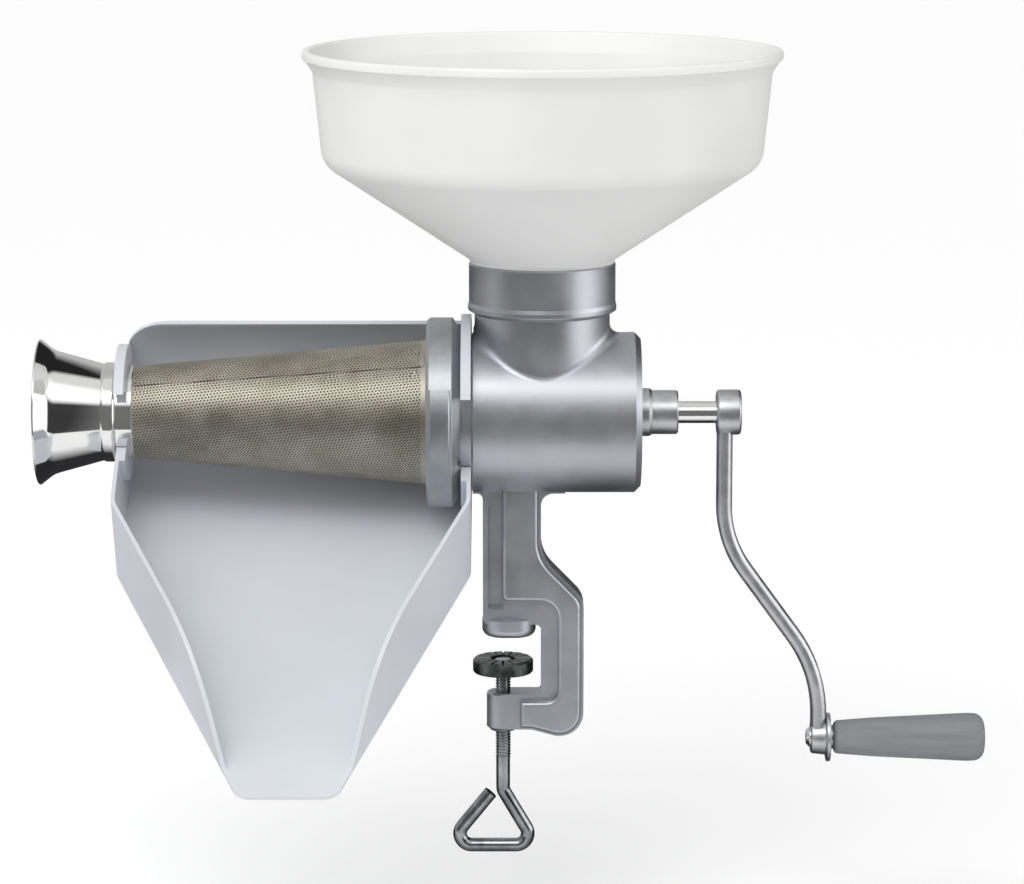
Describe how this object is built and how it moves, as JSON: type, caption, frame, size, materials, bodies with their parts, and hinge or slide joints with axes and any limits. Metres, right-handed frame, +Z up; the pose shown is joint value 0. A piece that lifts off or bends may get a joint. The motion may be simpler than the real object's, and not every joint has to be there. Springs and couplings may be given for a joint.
{
  "type": "tomato strainer with crank",
  "caption": "Hand cranked tomato strainer: round hopper over a cast barrel with table clamp, tapered perforated screen, juice chute and S curved crank.",
  "frame": {"origin": "centre of the upper jaw's face, where the clamp rests on the table top", "axes": "+X along the crank shaft towards the crank, +Z up; the chute pours towards -Y"},
  "size_m": [0.4749, 0.2838, 0.408],
  "materials": {
    "cast_metal": "cast and tumbled, satin",
    "ring_metal": "cast, satin",
    "screen_steel": "perforated sheet, satin",
    "bright_steel": "polished",
    "screw_steel": "zinc plated rod",
    "spring_steel": "drawn wire",
    "white_plastic": "moulded, slightly translucent",
    "grey_plastic": "moulded, fine grained",
    "bearing_plastic": "moulded",
    "seal_rubber": "matt"
  },
  "bodies": {
    "frame": {"body_casting": "cast_metal", "bayonet_studs": "screw_steel", "screen_gasket": "seal_rubber", "shaft_bushing": "bright_steel", "shaft_seal": "seal_rubber", "thrust_washer": "bearing_plastic"},
    "screen": {"locking_ring": "ring_metal", "screen_cone": "screen_steel", "screen_band": "screen_steel", "exit_flare": "bright_steel"},
    "chute": {"chute": "white_plastic"},
    "hopper": {"hopper": "white_plastic"},
    "spindle": {"drive_shaft": "bright_steel", "spiral": "white_plastic", "spiral_drive_pin": "screw_steel", "spiral_spring": "spring_steel", "crank_arm": "bright_steel", "crank_set_screw": "screw_steel", "handle_pin": "bright_steel", "handle_washer": "screw_steel"},
    "grip": {"handle_grip": "grey_plastic"},
    "pad": {"clamp_pad": "cast_metal"},
    "screw": {"clamp_screw": "screw_steel"}
  },
  "joints": [
    {"name": "crank_spin", "type": "hinge", "parent": "frame", "child": "spindle", "pos_m": [0, 0, 0.114], "axis": [1, 0, 0], "continuous": true},
    {"name": "handle_spin", "type": "hinge", "parent": "spindle", "child": "grip", "pos_m": [0.2, 0, -0.053], "axis": [1, 0, 0], "continuous": true},
    {"name": "screen_twist", "type": "hinge", "parent": "frame", "child": "screen", "pos_m": [0, 0, 0.114], "axis": [-1, 0, 0], "range_deg": [0, 25]},
    {"name": "chute_swing", "type": "hinge", "parent": "frame", "child": "chute", "pos_m": [0, 0, 0.114], "axis": [-1, 0, 0], "range_deg": [-15, 35]},
    {"name": "hopper_lift", "type": "slide", "parent": "frame", "child": "hopper", "axis": [0, 0, 1], "range_m": [0, 0.025]},
    {"name": "pad_lift", "type": "slide", "parent": "frame", "child": "pad", "axis": [0, 0, 1], "range_m": [-0.00825, 0.0105]},
    {"name": "screw_turn", "type": "hinge", "parent": "pad", "child": "screw", "pos_m": [-0.0005, 0, 0], "axis": [0, 0, 1], "range_deg": [-1980, 2520]}
  ],
  "couplings": [
    {"joint": "pad_lift", "follows": "screw_turn", "m_per_rad": 0.00023873}
  ]
}
